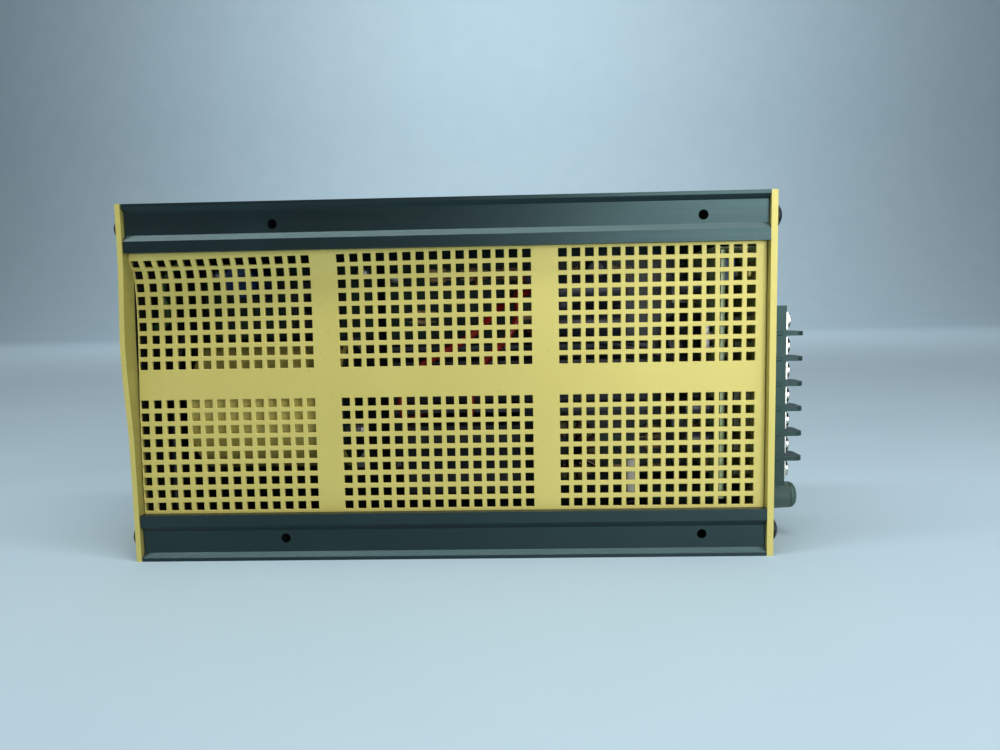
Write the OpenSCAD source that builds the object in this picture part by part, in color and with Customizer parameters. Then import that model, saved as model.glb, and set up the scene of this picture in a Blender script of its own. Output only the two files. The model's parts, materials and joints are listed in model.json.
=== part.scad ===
// Chassis-mount regulated power supply: two black extruded rails, gold end plates, a perforated
// cover, a barrier terminal block with a fuse holder beside it, and the electronics inside.
// X runs along the rails towards the terminals, Y from the cover to the back panel, Z up.
// The origin is the middle of the bounding box at its lowest level.

/* [Case] */
// Length of each rail between the end plates
rail_l = 228.6; // [227:0.2:232]
// Height of the case across both rails
case_h = 130.2; // [129:0.2:134]
// Depth of the case from the cover side to the back
case_d = 63.5; // [63:0.5:68]
// Thickness of an end plate
plate_t = 2.3; // [2:0.1:2.5]
// Thickness of the perforated cover and of the back panel
sheet_t = 1.2; // [0.9:0.1:1.3]

/* [Rail extrusion] */
// Height of a rail's flanges
rail_h = 17.3; // [17:0.1:18]
// Thickness of the web that joins the flanges
web_t = 2.5; // [2:0.1:3]
// Width of the outer lip of a flange
lip_w = 1.3; // [1:0.1:1.6]
// Depth of the trough in a flange's face
trough = 1.6; // [1:0.1:1.8]
// Width of the raised band beside the cover
band_w = 4.1; // [3.6:0.1:4.3]
// Width of the slope between the trough and the band
slope_w = 2.2; // [1.6:0.1:2.4]
// How far the cover lies behind the face of the flanges
recess = 3; // [2.4:0.1:3.2]
// Depth of the groove that holds the cover's edge
groove = 2.7; // [2.5:0.1:2.9]

/* [Perforation] */
// Distance from one square hole to the next
pitch = 4.7625; // [4.7:0.0125:4.8]
// Width of a square hole
hole_w = 3.1; // [2.8:0.1:3.3]
// Plain gap between blocks of holes along the rails, centre to centre
block_gap = 12.8; // [12:0.1:13]
// From the left end plate to the first column of holes
first_col = 2.1; // [2.1:0.1:2.3]

/* [Mounting holes] */
// Distance between the tapped holes along a rail
mount_x = 152.4; // [150:0.2:154]
// Distance between the tapped holes across the case
mount_z = 114.3; // [113.5:0.1:115]
// From the right end plate to the nearer tapped hole
mount_end = 23; // [21:0.5:25]
// Radius of a tapped hole
mount_r = 1.73; // [1.6:0.01:2]

/* [Terminal block] */
// Number of terminals
ways = 7; // [7]
// Distance from one terminal to the next
way = 9.525; // [9.5:0.025:9.6]
// Width of the block, front to back
block_w = 12.7; // [12:0.1:13]
// Height of the block's face above the end plate
block_h = 9.8; // [9:0.1:11]
// Height of the fins above the end plate
fin_h = 16.8; // [16:0.1:18]
// From the face of the flanges to the block
block_in = 17; // [16:0.5:18]

/* [Fuse holder] */
// Radius of the ribbed cap
cap_r = 5.7; // [5.6:0.1:5.9]
// Height of the cap above the end plate
cap_h = 17.5; // [16:0.5:19]
// Number of ribs round the cap
ribs = 36; // [24:2:40]

/* [Hidden] */
$fn = 48;

fit = 0.05;                       // gap of a screw in its hole, and under a moving face
screw_r = 2.05;                   // 8-32 screws of the end plates
screw_head = [4.25, 3.2];         // radius and height of their pan heads
port_in = 6.2;                    // from the flange face to the screw port
port_z = 8.4;                     // from the web's outer face to the screw port
port_deep = 14;
pad_in = 9.6;                     // thick part of a flange, from its face
pad_z = 12.6;
back_lip = 1.4;                   // lip behind the cover's edge
slot_w = 1.4;                     // width of the cover's groove
edge_gap = 0.3;                   // the sheets' clearance at the ends and in the grooves

overall_x = screw_head[1] + 2 * plate_t + rail_l + fin_h;
x0 = screw_head[1] + plate_t - overall_x / 2;   // inner face of the left end plate
x1 = x0 + rail_l;                               // inner face of the right end plate
face_x = x1 + plate_t;                          // outer face of the right end plate
front = -case_d / 2;
cover_y = front + recess;
inner_front = cover_y + sheet_t;
panel_y = case_d / 2 - recess - sheet_t;        // inner face of the back panel
hole_inset = (case_h - mount_z) / 2;
hole_xs = [x1 - mount_end - mount_x, x1 - mount_end];

cols = [14, 15, 15];
rows = 9;
row_gap = 3 * pitch;
row_top = case_h / 2 + ((2 * rows - 2) * pitch + row_gap) / 2;

block_y = front + block_in + block_w / 2;
block_z0 = 21.4;
end_wall = 1;                     // beyond the first and the last terminal
block_top = block_z0 + ways * way + 2 * end_wall;
block_screw_zs = [block_z0 + 1.7, block_top - 1.7];
clamp_t = 0.8;
term_screw_r = 1.7;
term_plate_t = 0.8;
fin_t = 1.6;

fuse_y = front + 28;
fuse_z = 15.3;
fuse_r = 3.175;
fuse_l = 31.75;
holder_r = 5.5;
holder_deep = 38;
stem_r = 4.4;
stem_deep = 7;

board_t = 1.6;
standoff_h = 10;
board_y = panel_y - standoff_h - board_t;       // component side of the two flat boards
main_x = [x0 + 84, x0 + 212];
main_z = [20, 110];
filter_x = [x0 + 8, x0 + 80];
filter_z = [80, 111];
control_x = x0 + 213.2;
trimmer_z = 103;
can_r = 25.4;
can_x = [x0 + 16, x0 + 73];
can_y = 1;
can_z = 54;
clamp_x = [x0 + 66, x0 + 72];
board_holes = concat([for (x = [main_x[0] + 5, main_x[1] - 5], z = [main_z[0] + 5, main_z[1] - 5]) [x, z]],
                     [for (x = [filter_x[0] + 5, filter_x[1] - 5]) [x, filter_z[1] - 4]]);
clamp_holes = [for (s = [-1, 1]) [(clamp_x[0] + clamp_x[1]) / 2, can_z + 28 * s]];

// Extrudes a drawing of Y and Z from x along +X
module along_x(x, length) {
    translate([x, 0, 0]) rotate([90, 0, 90]) linear_extrude(length) children();
}

// Extrudes a drawing of X and Z from y along +Y
module along_y(y, length) {
    translate([0, y + length, 0]) rotate([90, 0, 0]) linear_extrude(length) children();
}

// A bar from its lowest corner to its highest
module bar(low, high) {
    translate(low) cube(high - low);
}

module rod_x(x, y, z, r, length) {
    translate([x, y, z]) rotate([0, 90, 0]) cylinder(r = r, h = length);
}

module rod_y(x, y, z, r, length) {
    translate([x, y, z]) rotate([-90, 0, 0]) cylinder(r = r, h = length);
}

// A dome with a short straight side, its flat at the origin and its top along +Z
module pan(r, h) {
    rise = h * 0.55;
    ball = (r * r + rise * rise) / (2 * rise);
    intersection() {
        cylinder(r = r, h = h);
        translate([0, 0, h - ball]) sphere(ball);
    }
}

/* Side rails */

function flange_line() = [
    [0, 0], [0, lip_w], [trough, lip_w + trough], [trough, rail_h - band_w - slope_w],
    [0, rail_h - band_w], [0, rail_h], [recess, rail_h], [recess, rail_h - groove],
    [recess + slot_w, rail_h - groove], [recess + slot_w, rail_h],
    [recess + slot_w + back_lip, rail_h], [recess + slot_w + back_lip, pad_z],
    [pad_in, pad_z], [pad_in, web_t]];

module rail() {
    line = flange_line();
    near = [for (p = line) [front + p[0], p[1]]];
    far = [for (i = [len(line) - 1:-1:0]) [-front - line[i][0], line[i][1]]];
    difference() {
        along_x(x0, rail_l) polygon(concat(near, far));
        for (s = [-1, 1]) {
            for (x = [x0 - 1, x1 - port_deep])
                rod_x(x, s * (case_d / 2 - port_in), port_z, screw_r + fit, port_deep + 1);
            for (x = hole_xs)
                rod_y(x, s > 0 ? case_d / 2 - 12 : front - 1, hole_inset, mount_r, 13);
        }
    }
}

module rail_bottom() color("#1d2022") rail();

module rail_top() color("#1d2022") translate([0, 0, case_h]) mirror([0, 0, 1]) rail();

/* End plates and their screws */

module screw_places() {
    for (s = [-1, 1], z = [port_z, case_h - port_z]) translate([0, s * (case_d / 2 - port_in), z]) children();
}

module plate_outline() {
    difference() {
        translate([front, 0]) square([case_d, case_h]);
        for (s = [-1, 1], z = [port_z, case_h - port_z])
            translate([s * (case_d / 2 - port_in), z]) circle(screw_r + 0.25);
    }
}

module end_plate_left() color("#c9bb6c") along_x(x0 - plate_t, plate_t) plate_outline();

module end_plate_right() {
    color("#c9bb6c") along_x(x1, plate_t) difference() {
        plate_outline();
        translate([block_y - 3, block_z0 + end_wall + 1.4]) square([6, ways * way - 2.8]);
        for (z = block_screw_zs) translate([block_y - 4.4, z]) circle(1.05);
        translate([fuse_y, fuse_z]) circle(holder_r + fit);
        translate([block_y, trimmer_z]) circle(1.9);
    }
}

module end_plate_screw() {
    difference() {
        union() {
            rotate([0, 90, 0]) pan(screw_head[0], screw_head[1]);
            rod_x(-plate_t - 12, 0, 0, screw_r, 12 + plate_t);
        }
        for (a = [45, 135]) rotate([a, 0, 0])
            bar([screw_head[1] - 1.5, -0.5, -2.1], [screw_head[1] + 1, 0.5, 2.1]);
    }
}

module end_plate_screws() {
    color("#17181a") {
        translate([face_x, 0, 0]) screw_places() end_plate_screw();
        translate([x0 - plate_t, 0, 0]) screw_places() mirror([1, 0, 0]) end_plate_screw();
    }
}

/* Cover and back panel */

module sheet_outline() {
    translate([x0 + edge_gap, rail_h - groove + edge_gap])
        square([rail_l - 2 * edge_gap, case_h - 2 * (rail_h - groove + edge_gap)]);
}

function block_x(b) = x0 + first_col + (b > 0 ? (cols[0] - 1) * pitch + block_gap : 0)
    + (b > 1 ? (cols[1] - 1) * pitch + block_gap : 0);

function row_z(r) = row_top - r * pitch - (r < rows ? 0 : row_gap - pitch);

module perforated_cover() {
    color("#cfc06d") along_y(cover_y, sheet_t) difference() {
        sheet_outline();
        for (b = [0:2], c = [0:cols[b] - 1], r = [0:2 * rows - 1])
            translate([block_x(b) + c * pitch, row_z(r)]) square(hole_w, center = true);
    }
}

module back_panel() {
    color("#c9bb6c") along_y(panel_y, sheet_t) difference() {
        sheet_outline();
        for (p = concat(board_holes, clamp_holes)) translate(p) circle(1.6);
    }
}

/* Terminal block */

function way_z(i) = block_z0 + end_wall + (ways - i + 0.5) * way;

module fin_outline() {
    difference() {
        translate([0, -block_w / 2]) square([fin_h, block_w]);
        for (s = [-1, 1]) translate([fin_h, s * block_w / 2]) difference() {
            square(6, center = true);
            translate([-3, -s * 3]) circle(3);
        }
    }
}

module terminal_block() {
    color("#222826") difference() {
        union() {
            bar([face_x, block_y - block_w / 2, block_z0],
                [face_x + block_h, block_y + block_w / 2, block_top]);
            for (i = [1:ways - 1])
                translate([face_x, block_y, way_z(i) - (way + fin_t) / 2])
                    linear_extrude(fin_t) fin_outline();
        }
        for (i = [1:ways]) translate([face_x, block_y, way_z(i)]) {
            rod_x(block_h - 7, 0, 0, term_screw_r + 0.3, 8);
            bar([-1, -2.7, -3.1], [block_h + 1, -2.1, 3.1]);
        }
        for (z = block_screw_zs) rod_x(face_x - 1, block_y - 4.4, z, 0.95 + fit, 7);
    }
}

module terminal_block_screws() {
    color("#9a9c9c") for (z = block_screw_zs) {
        rod_x(x1 - 1.4, block_y - 4.4, z, 1.8, 1.4);
        rod_x(x1, block_y - 4.4, z, 0.95, 7);
    }
}

// A tinned strip: a tapped pad under the screw and a solder tail through the block
module terminal_plates() {
    color("#d9dbd8") for (i = [1:ways]) translate([face_x + block_h, block_y, way_z(i)]) difference() {
        union() {
            bar([0, -2.6, -3.4], [term_plate_t, 5.6, 3.4]);
            bar([-block_h - plate_t - 6, -2.6, -1.8], [0, -2.2, 1.8]);
        }
        rod_x(-1, 0, 0, term_screw_r + fit, 3);
        translate([-block_h - plate_t - 3.4, -4, 0]) rotate([-90, 0, 0]) cylinder(r = 0.9, h = 3);
    }
}

module terminal_clamp(i) {
    color("#dcdedb") translate([face_x + block_h + term_plate_t + fit, block_y, way_z(i)]) difference() {
        bar([0, -3.3, -3.3], [clamp_t, 3.3, 3.3]);
        rod_x(-1, 0, 0, term_screw_r + fit, 3);
    }
}

module terminal_screw(i) {
    under = term_plate_t + clamp_t + 2 * fit;
    color("#c8cac6") translate([face_x + block_h + under, block_y, way_z(i)]) difference() {
        union() {
            rotate([0, 90, 0]) pan(3.1, 1.9);
            rod_x(-under - 4.5, 0, 0, term_screw_r, under + 4.5);
        }
        rotate([20 * i, 0, 0]) bar([0.9, -4, -0.5], [3, 4, 0.5]);
    }
}

/* Fuse holder */

module fuse_holder_body() {
    color("#1b1d1e") difference() {
        union() {
            rod_x(face_x, fuse_y, fuse_z, 6, 1.2);
            rod_x(x1 - holder_deep, fuse_y, fuse_z, holder_r, holder_deep + plate_t + 0.1);
        }
        rod_x(face_x + 1.2 - stem_deep - 0.6, fuse_y, fuse_z, stem_r + 0.1, 9);
        rod_x(face_x - stem_deep - 30, fuse_y, fuse_z, fuse_r + 0.25, 40);
        rod_x(x1 - holder_deep - 1, fuse_y, fuse_z, 1.2, 6);
    }
}

module fuse_holder_nut() {
    color("#b9bbb8") difference() {
        translate([x1 - 2.4, fuse_y, fuse_z]) rotate([0, 90, 0]) cylinder(r = 7.6, h = 2.4, $fn = 6);
        rod_x(x1 - 4, fuse_y, fuse_z, holder_r + fit, 6);
    }
}

module fuse_holder_lugs() {
    color("#d2d4cf") {
        bar([x1 - holder_deep - 9, fuse_y - 2, fuse_z - 0.3], [x1 - holder_deep, fuse_y + 2, fuse_z + 0.3]);
        bar([x1 - 22, fuse_y - 2, fuse_z + holder_r], [x1 - 21.4, fuse_y + 2, fuse_z + holder_r + 6]);
    }
}

module fuse_cap() {
    reach = face_x + 1.2 + 0.3;
    nose = 2.2;
    taper = 0.6;
    skirt = cap_h - 1.5 - nose;
    color("#191b1c") difference() {
        union() {
            translate([reach, fuse_y, fuse_z]) rotate([0, 90, 0]) rotate_extrude() polygon(concat(
                [[0, 0], [cap_r, 0], [cap_r - taper, skirt]],
                [for (a = [15:15:90]) [cap_r - taper - nose * (1 - cos(a)), skirt + nose * sin(a)]],
                [[0, skirt + nose]]));
            rod_x(face_x + 1.2 - stem_deep, fuse_y, fuse_z, stem_r, stem_deep + 1);
        }
        rod_x(face_x + 1.2 - stem_deep - 1, fuse_y, fuse_z, fuse_r + fit, stem_deep - 0.5);
        for (k = [0:ribs - 1]) translate([reach + 0.8, fuse_y, fuse_z]) rotate([k * 360 / ribs, 0, 0])
            translate([0, 0, cap_r]) rotate([0, atan(taper / skirt), 0]) rod_x(0, 0, 0, 0.34, skirt - 1);
        bar([face_x + cap_h - 0.8, fuse_y - 0.6, fuse_z - 3.6],
            [face_x + cap_h + 1, fuse_y + 0.6, fuse_z + 3.6]);
    }
}

fuse_x = face_x - 0.4 - fuse_l;          // inner end of the fuse

module fuse_glass() {
    color([0.8, 0.88, 0.86, 0.5]) difference() {
        rod_x(fuse_x + 6, fuse_y, fuse_z, fuse_r - 0.3, fuse_l - 12);
        rod_x(fuse_x + 5, fuse_y, fuse_z, fuse_r - 1, fuse_l - 10);
    }
}

module fuse_ferrules() {
    color("#c9cbc7") {
        rod_x(fuse_x, fuse_y, fuse_z, fuse_r, 6);
        rod_x(fuse_x + fuse_l - 6, fuse_y, fuse_z, fuse_r, 6);
        rod_x(fuse_x + 6, fuse_y, fuse_z, 0.3, fuse_l - 12);
    }
}

/* Control board, standing behind the terminals */

module control_board() {
    color("#b9cba4") along_x(control_x, board_t) difference() {
        translate([inner_front + 2.5, 19.5]) square([board_y - inner_front - 3, 91]);
        translate([fuse_y - holder_r - 1.5, 10]) square([40, 16]);
    }
}

module control_board_brackets() {
    color("#b5b7b5") for (z = [38, 92]) {
        bar([control_x - 9, board_y - 1, z], [control_x, board_y, z + 8]);
        bar([control_x - 1, board_y - 9, z], [control_x, board_y - 1, z + 8]);
    }
}

// A bent sheet that keeps the board's upper corner off the rail
module insulating_sheet() {
    color("#d3dcae") {
        bar([control_x - 2.5, inner_front + 3, 111], [x1 - edge_gap, 3, 111.5]);
        bar([x1 - edge_gap - 0.5, inner_front + 3, 107], [x1 - edge_gap, 3, 111]);
    }
}

module voltage_trimmer_body() {
    x = control_x + board_t;
    color("#2b5aa0") difference() {
        bar([x, block_y - 4.8, trimmer_z - 4.8], [x + 7, block_y + 4.8, trimmer_z + 4.8]);
        rod_x(x + 4, block_y, trimmer_z, 1.9, 4);
    }
}

module voltage_trimmer_rotor() {
    x = control_x + board_t + 4.1;
    color("#e6e3d6") difference() {
        rod_x(x, block_y, trimmer_z, 1.85, 5);
        bar([x + 4, block_y - 0.35, trimmer_z - 2.5], [x + 6, block_y + 0.35, trimmer_z + 2.5]);
    }
}

// A chip in a dual in-line case, its legs towards the board
module chip(x, y, z, length) {
    bar([x - 4.6, y - 3.2, z], [x - 1.2, y + 3.2, z + length]);
    for (k = [0:length / 2.54 - 1], s = [-1, 1])
        bar([x - 3.2, y + s * 3.6 - 0.4, z + 0.9 + k * 2.54], [x, y + s * 3.6 + 0.4, z + 1.5 + k * 2.54]);
}

module control_chips() {
    color("#202122") {
        chip(control_x, 4, 50, 19.3);
        chip(control_x, -12, 74, 10.2);
    }
}

module control_capacitors() {
    color("#31486f") for (p = [[-14, 40, 4], [-14, 52, 4], [6, 82, 5], [-6, 98, 3.2]])
        rod_x(control_x - 11, p[0], p[1], p[2], 11);
}

/* Main and filter boards */

module board(xs, zs) {
    color("#4f7f4e") along_y(board_y, board_t) difference() {
        translate([xs[0], zs[0]]) square([xs[1] - xs[0], zs[1] - zs[0]]);
        for (p = board_holes) translate(p) circle(1.6);
    }
}

module main_board() board(main_x, main_z);

module filter_board() board(filter_x, filter_z);

module board_standoffs() {
    color("#c4c6c2") for (p = board_holes) difference() {
        translate([p[0], panel_y, p[1]]) rotate([90, 0, 0]) cylinder(r = 3.1, h = standoff_h, $fn = 6);
        rod_y(p[0], panel_y - standoff_h - 1, p[1], 1.5, standoff_h + 2);
    }
}

// Pan-head screws: into the standoffs from both ends, and through the feet of the clamp
module board_screws() {
    color("#a9abaa") {
        for (p = board_holes) {
            translate([p[0], board_y, p[1]]) rotate([90, 0, 0]) pan(2.8, 1.9);
            rod_y(p[0], board_y, p[1], 1.45, 6);
            rod_y(p[0], panel_y - 4, p[1], 1.45, 4 + sheet_t);
            translate([p[0], panel_y + sheet_t, p[1]]) rotate([-90, 0, 0]) pan(2.8, 1.9);
        }
        for (p = clamp_holes) {
            rod_y(p[0], panel_y - 3, p[1], 1.45, 3 + sheet_t);
            translate([p[0], panel_y + sheet_t, p[1]]) rotate([-90, 0, 0]) pan(2.8, 1.9);
        }
    }
}

/* Bulk capacitor in its clamp */

module bulk_capacitor_can() color("#b9a66a") rod_x(can_x[0], can_y, can_z, can_r, can_x[1] - can_x[0]);

module bulk_capacitor_header() {
    color("#2c2a28") {
        rod_x(can_x[1], can_y, can_z, can_r - 2, 1.5);
        for (s = [-1, 1]) rod_x(can_x[1] + 1.5, can_y, can_z + 11 * s, 4, 4);
    }
}

module capacitor_clamp() {
    color("#c3c5c3") difference() {
        union() {
            rod_x(clamp_x[0], can_y, can_z, can_r + 1, clamp_x[1] - clamp_x[0]);
            bar([clamp_x[0], can_r + 0.8, can_z - 32], [clamp_x[1], panel_y, can_z + 32]);
        }
        rod_x(clamp_x[0] - 1, can_y, can_z, can_r + 0.02, clamp_x[1] - clamp_x[0] + 2);
        for (p = clamp_holes) rod_y(p[0], can_r, p[1], 1.5, 4);
    }
}

/* Parts on the filter board */

module line_capacitor() color("#1f4f9c") rod_y(x0 + 33, -12, 103, 6.5, board_y + 12);

module line_choke() {
    color("#3a3f3c") difference() {
        rod_y(x0 + 58, board_y - 13, 94, 10.5, 13);
        rod_y(x0 + 58, board_y - 14, 94, 4, 15);
    }
}

/* Transformer on the main board */

core_x = [x0 + 96, x0 + 140];
core_z = [21, 47];
core_y = [-18, board_y - 1];

module transformer_core() {
    color("#4a4d4e") difference() {
        bar([core_x[0], core_y[0], core_z[0]], [core_x[1], core_y[1], core_z[1]]);
        for (x = [core_x[0] + 7, core_x[1] - 17]) bar([x, core_y[0] + 7, 10], [x + 10, core_y[1] - 7, 60]);
    }
}

module transformer_winding() {
    color("#c7a84e") difference() {
        bar([core_x[0] + 7.2, core_y[0] + 7.2, core_z[0] + 2],
            [core_x[1] - 7.2, core_y[1] - 7.2, core_z[1] - 2]);
        bar([core_x[0] + 16.8, core_y[0], 10], [core_x[1] - 16.8, core_y[1], 60]);
    }
}

module transformer_strap() {
    color("#c9cbca") difference() {
        bar([core_x[0] - 1, core_y[0] - 1, 29], [core_x[1] + 1, board_y, 39]);
        bar([core_x[0], core_y[0], 20], [core_x[1], board_y + 1, 50]);
    }
}

/* Heat sink with the output rectifiers */

sink_x = [x0 + 90, x0 + 192];
sink_z = [51, 77];
sink_y = [-12, board_y - 7];

module heat_sink() {
    fins = 5;
    color("#b7bbbb") {
        bar([sink_x[0], sink_y[1] - 3, sink_z[0]], [sink_x[1], sink_y[1], sink_z[1]]);
        for (k = [0:fins - 1]) {
            z = sink_z[0] + k * (sink_z[1] - sink_z[0] - 1.8) / (fins - 1);
            bar([sink_x[0], sink_y[0], z], [sink_x[1], sink_y[1] - 3, z + 1.8]);
        }
        for (x = [sink_x[0] + 3, sink_x[1] - 6]) bar([x, sink_y[1], 62], [x + 3, board_y, 66]);
    }
}

rect_xs = [x0 + 108, x0 + 136, x0 + 164];

module rectifiers() {
    color("#232426") for (x = rect_xs) {
        difference() {
            bar([x - 5, sink_y[1], 58], [x + 5, sink_y[1] + 4.4, 73]);
            rod_y(x, sink_y[1] - 1, 70, 1.6, 7);
        }
        for (k = [-1:1])
            bar([x + 2.54 * k - 0.4, sink_y[1] + 2, 53], [x + 2.54 * k + 0.4, sink_y[1] + 2.6, 58]);
    }
}

module rectifier_screws() {
    color("#a9abaa") for (x = rect_xs) translate([x, sink_y[1] + 4.4, 70]) {
        rotate([-90, 0, 0]) pan(2.6, 1.8);
        rod_y(0, -4.4, 0, 1.45, 4.4);
    }
}

/* Output filter */

module output_capacitors() {
    color("#24262b") for (z = [98, 84]) rod_x(x0 + 150, board_y - 6.8, z, 6.8, 34);
}

choke_x = x0 + 160;
choke_z = 33;
choke_y = board_y - 14;

module output_choke_core() {
    color("#6d6f3f") difference() {
        rod_y(choke_x, choke_y, choke_z, 12, 10);
        rod_y(choke_x, choke_y - 1, choke_z, 7, 12);
    }
}

module output_choke_winding() {
    turns = 18;
    color("#8e4a2c") for (k = [0:turns - 1]) translate([choke_x, choke_y - 1.3, choke_z])
        rotate([0, k * 360 / turns + 10, 0]) difference() {
            bar([5.6, 0, -0.7], [13.3, 12.6, 0.7]);
            bar([6.9, 1.2, -1], [12.1, 11.4, 1]);
        }
}

module ceramic_resistor() {
    color("#e9e8e2") bar([x0 + 180, -22, 20], [x0 + 184.5, -15, 34]);
    color("#c8cac6") for (z = [23, 31]) rod_y(x0 + 182.25, -15, z, 0.45, board_y + 15);
}

/* Wiring */

// A round lead swept along its points
module lead(path, r) {
    sides = 8;
    n = len(path);
    function toward(i) = path[min(i + 1, n - 1)] - path[max(i - 1, 0)];
    function unit(v) = v / norm(v);
    ring = [for (i = [0:n - 1]) let (
        t = unit(toward(i)), a = unit(cross(t, [0.31, 0.87, 0.38])), b = cross(t, a))
        for (k = [0:sides - 1]) path[i] + r * (cos(k * 360 / sides) * a + sin(k * 360 / sides) * b)];
    polyhedron(ring, concat(
        [[for (k = [0:sides - 1]) k]],
        [[for (k = [sides - 1:-1:0]) (n - 1) * sides + k]],
        [for (i = [0:n - 2], k = [0:sides - 1]) let (next = (k + 1) % sides)
            [i * sides + k, (i + 1) * sides + k, (i + 1) * sides + next, i * sides + next]]));
}

// A point of a smooth line through four knots, between the middle two
function blend4(p, t) = 0.5 * ((2 * p[1]) + (p[2] - p[0]) * t
    + (2 * p[0] - 5 * p[1] + 4 * p[2] - p[3]) * t * t + (3 * p[1] - p[0] - 3 * p[2] + p[3]) * t * t * t);

function smooth(knots, steps = 5) = let (n = len(knots)) concat(
    [for (i = [0:n - 2], s = [0:steps - 1])
        blend4([for (j = [-1:2]) knots[max(0, min(n - 1, i + j))]], s / steps)], [knots[n - 1]]);

// Knots measured from the left end plate, the middle of the depth and the base
function from_left(knots) = [for (p = knots) [x0 + p[0], p[1], p[2]]];

red_knots = [
    [[101, 15.6, 49], [99.5, -4, 49], [97, -14.5, 49], [96, -20, 54], [97, -21, 62], [104, -22, 70],
     [112, -22, 75], [121, -21, 80], [128, -16, 86], [134, -4, 92], [140, 8, 96], [146, 14.2, 98]],
    [[118, 15.6, 49], [119.5, -2, 49], [121, -14.5, 49], [122, -20, 54], [123, -21, 62], [128, -22, 72],
     [136, -22, 80], [140, -20, 88], [140, -12, 96], [141, 0, 101], [145, 14.2, 106]]];
sense_knots = [
    [[145, 15.6, 81], [145.5, 4, 81], [147, -10, 80.5], [153, -18, 80], [165, -21, 79], [180, -21, 76],
     [195, -19, 72], [203, -13.4, 70.2], [208.5, -9.5, 69.3], [212.8, -9, 69]]];
line_knots = [
    [[186, -3.75, 13.9], [177, -4, 10.5], [165, -4, 8.5], [150, -4, 8], [100, -4, 8], [80, -6, 8.5],
     [30, -12, 8], [8, -14, 12], [4.5, -12, 30], [4.5, -8, 60], [6, 0, 84], [12, 14.4, 92]],
    [[222.3, -9.4, 84.3], [222, -3, 88], [222, 5, 96], [221.5, 7, 108], [218, 8, 115], [205, 9.5, 117],
     [190, 10, 117], [120, 10, 117], [84, 9, 116], [70, 6, 114.5], [34, 2, 114], [22, 6, 111],
     [20, 14.4, 104]]];
ground_knots = [
    [[222.3, -9.4, 74.8], [222, -2, 78], [222, 8, 84], [222, 12, 94], [221.5, 13, 108], [218, 13, 116],
     [210, 12, 121], [196, 7, 122], [180, -6, 121], [160, -10, 119.5], [100, -12, 119], [30, -14, 118],
     [10, -16, 108], [7, -19, 100], [8, -18, 93], [6, -15, 88], [0.6, -14, 86]]];

module output_leads() {
    color("#b3201c") for (k = concat(red_knots, sense_knots)) lead(smooth(from_left(k)), 1.5);
}

module line_leads() color("#26282a") for (k = line_knots) lead(smooth(from_left(k)), 1.2);

module ground_lead() color("#6f9a5a") for (k = ground_knots) lead(smooth(from_left(k)), 1.2);

rail_top();
rail_bottom();
end_plate_left();
end_plate_right();
end_plate_screws();
perforated_cover();
back_panel();
terminal_block();
terminal_block_screws();
terminal_plates();
for (i = [1:ways]) terminal_clamp(i);
for (i = [1:ways]) terminal_screw(i);
fuse_holder_body();
fuse_holder_nut();
fuse_holder_lugs();
fuse_cap();
fuse_glass();
fuse_ferrules();
control_board();
control_board_brackets();
insulating_sheet();
voltage_trimmer_body();
voltage_trimmer_rotor();
control_chips();
control_capacitors();
main_board();
filter_board();
board_standoffs();
board_screws();
bulk_capacitor_can();
bulk_capacitor_header();
capacitor_clamp();
line_capacitor();
line_choke();
transformer_core();
transformer_winding();
transformer_strap();
heat_sink();
rectifiers();
rectifier_screws();
output_capacitors();
output_choke_core();
output_choke_winding();
ceramic_resistor();
output_leads();
line_leads();
ground_lead();
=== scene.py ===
"""The looks of a chassis-mount power supply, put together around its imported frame."""
import bpy
import json
import math
import random
from mathutils import Matrix, Vector

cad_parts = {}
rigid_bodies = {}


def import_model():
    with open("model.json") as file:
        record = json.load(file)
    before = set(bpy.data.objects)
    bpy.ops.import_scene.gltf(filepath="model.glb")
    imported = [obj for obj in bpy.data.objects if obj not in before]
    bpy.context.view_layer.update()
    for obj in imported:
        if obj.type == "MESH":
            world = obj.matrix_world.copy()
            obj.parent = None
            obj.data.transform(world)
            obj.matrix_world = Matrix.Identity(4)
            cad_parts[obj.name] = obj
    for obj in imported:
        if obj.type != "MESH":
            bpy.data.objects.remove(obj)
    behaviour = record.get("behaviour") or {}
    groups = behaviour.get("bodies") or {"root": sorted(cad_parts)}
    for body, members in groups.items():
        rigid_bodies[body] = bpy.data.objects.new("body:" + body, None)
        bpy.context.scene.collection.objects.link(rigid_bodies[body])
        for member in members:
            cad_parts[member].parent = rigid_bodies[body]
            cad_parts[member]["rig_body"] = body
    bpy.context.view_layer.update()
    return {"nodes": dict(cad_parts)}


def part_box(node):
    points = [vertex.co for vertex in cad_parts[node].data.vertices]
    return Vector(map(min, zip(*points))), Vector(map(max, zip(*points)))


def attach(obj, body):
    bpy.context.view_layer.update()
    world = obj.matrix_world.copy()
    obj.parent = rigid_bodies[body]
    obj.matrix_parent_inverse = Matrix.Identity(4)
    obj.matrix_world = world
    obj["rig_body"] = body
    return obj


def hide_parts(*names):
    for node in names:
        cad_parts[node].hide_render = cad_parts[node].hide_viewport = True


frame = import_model()
MM = 0.001


# ---------------------------------------------------------------- Studio
# The case stands on a plain pale floor that sweeps up behind it. A soft window light comes from the
# right, with a key above it and a weak fill at the left. A long strip overhead draws the rails, one
# lamp above and behind lights the case's top, and one lights the backdrop.
scene = bpy.context.scene
scene.view_settings.view_transform = "Standard"
camera = bpy.data.objects.new("camera", bpy.data.cameras.new("camera"))
scene.collection.objects.link(camera)
camera.data.sensor_width = 36
camera.data.lens = 25.92
camera.data.clip_start = 0.01
camera.location = (19.13 * MM, -287.62 * MM, 89.66 * MM)
camera.rotation_euler = [math.radians(a) for a in (84.989, 1.067, 1.440)]
scene.camera = camera


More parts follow.
